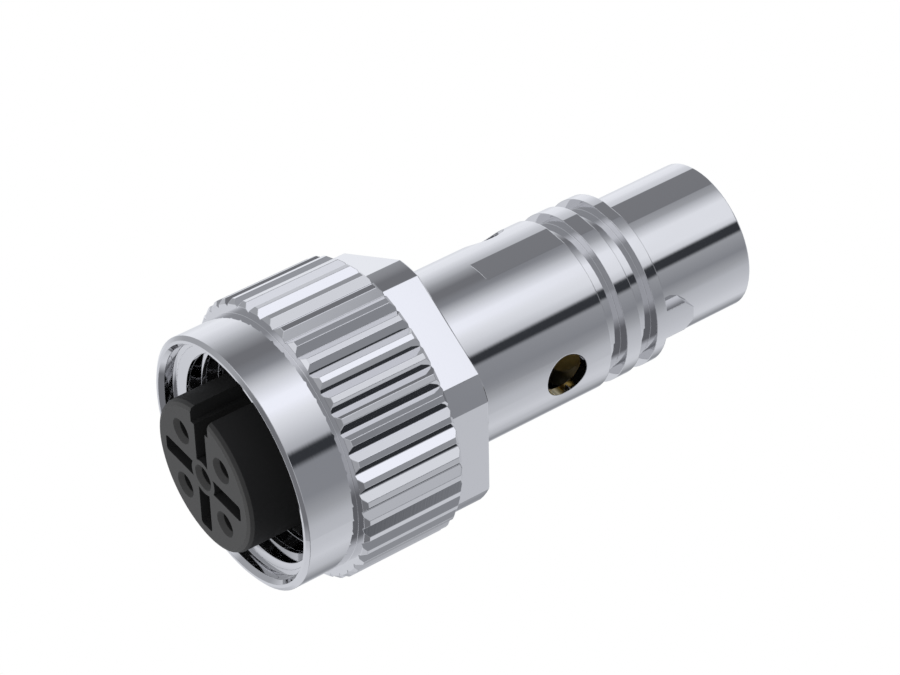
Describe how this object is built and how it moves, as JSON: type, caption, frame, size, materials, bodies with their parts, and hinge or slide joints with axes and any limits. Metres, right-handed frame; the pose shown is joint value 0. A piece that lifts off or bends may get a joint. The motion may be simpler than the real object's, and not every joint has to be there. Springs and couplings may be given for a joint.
{
  "type": "circular sensor connector",
  "caption": "Shielded circular sensor connector with socket contacts, a loose knurled coupling nut and a plated sleeve with anchor ribs, ready for over-moulding.",
  "frame": {"origin": "on the connector's axis at its cable end, on which the part stands", "axes": "+Z along the axis, from the cable end to the mating face; the coding keyway is towards -Y, and the tail's lug towards -X"},
  "size_m": [0.015, 0.015, 0.0309],
  "materials": {
    "nickel_nut": "bright nickel plating on turned brass",
    "nickel_sleeve": "bright nickel plating on turned brass",
    "carrier_plastic": "fine matt moulded thermoplastic",
    "seal_rubber": "smooth moulded rubber",
    "ring_steel": "bright spring steel",
    "contact_gold": "thin gold plating on turned copper alloy"
  },
  "bodies": {
    "connector": {"shield_sleeve": "nickel_sleeve", "contact_carrier": "carrier_plastic", "sealing_ring": "seal_rubber", "retaining_ring": "ring_steel", "contact_1": "contact_gold", "contact_2": "contact_gold", "contact_3": "contact_gold", "contact_4": "contact_gold", "contact_5": "contact_gold"},
    "nut": {"coupling_nut": "nickel_nut"}
  },
  "joints": [
    {"name": "nut_spin", "type": "hinge", "parent": "connector", "child": "nut", "pos_m": [0, 0, 0.02025], "axis": [0, 0, -1], "continuous": true}
  ]
}
